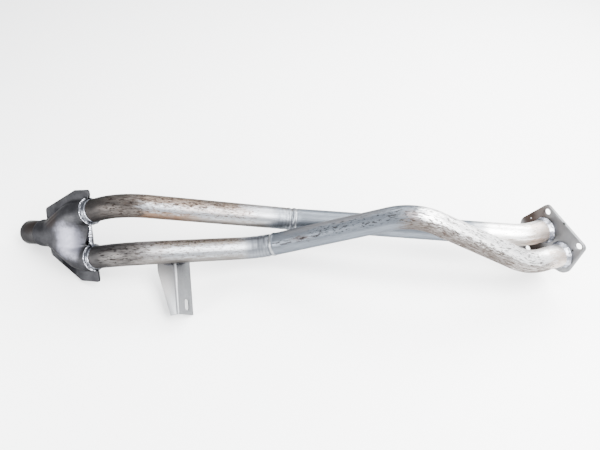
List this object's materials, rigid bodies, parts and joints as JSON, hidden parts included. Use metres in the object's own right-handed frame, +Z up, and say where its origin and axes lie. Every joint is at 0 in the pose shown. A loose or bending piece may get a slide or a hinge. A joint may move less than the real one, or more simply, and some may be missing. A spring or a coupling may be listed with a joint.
{
  "type": "exhaust y-pipe",
  "caption": "Twin-leg exhaust front pipe: two crossing bent tubes between a slotted inlet flange and a pressed collector with an outlet tube and hanger bracket.",
  "frame": {"origin": "on the floor under the middle of the bounding box, with the pipe lying as it comes to rest", "axes": "+X from the outlet towards the inlet flange along the length, +Z up, +Y away from the side that the bracket is on"},
  "size_m": [1.049, 0.2142, 0.1868],
  "materials": {
    "leg_tube": "aluminised steel tube, satin, stained and heat-tinted at the ends",
    "flange_plate": "plain cut steel plate, matt grey",
    "collector_sheet": "pressed steel sheet, heat-darkened, satin",
    "bracket_sheet": "folded galvanised sheet, satin grain",
    "weld_bead": "bright ragged weld bead"
  },
  "bodies": {
    "root": {"front_leg": "leg_tube", "rear_leg": "leg_tube", "inlet_flange": "flange_plate", "near_shell": "collector_sheet", "far_shell": "collector_sheet", "outlet_tube": "collector_sheet", "bracket": "bracket_sheet", "front_port_weld": "weld_bead", "rear_port_weld": "weld_bead", "front_mouth_weld": "weld_bead", "rear_mouth_weld": "weld_bead", "outlet_weld": "weld_bead", "bracket_weld": "weld_bead"}
  },
  "joints": []
}
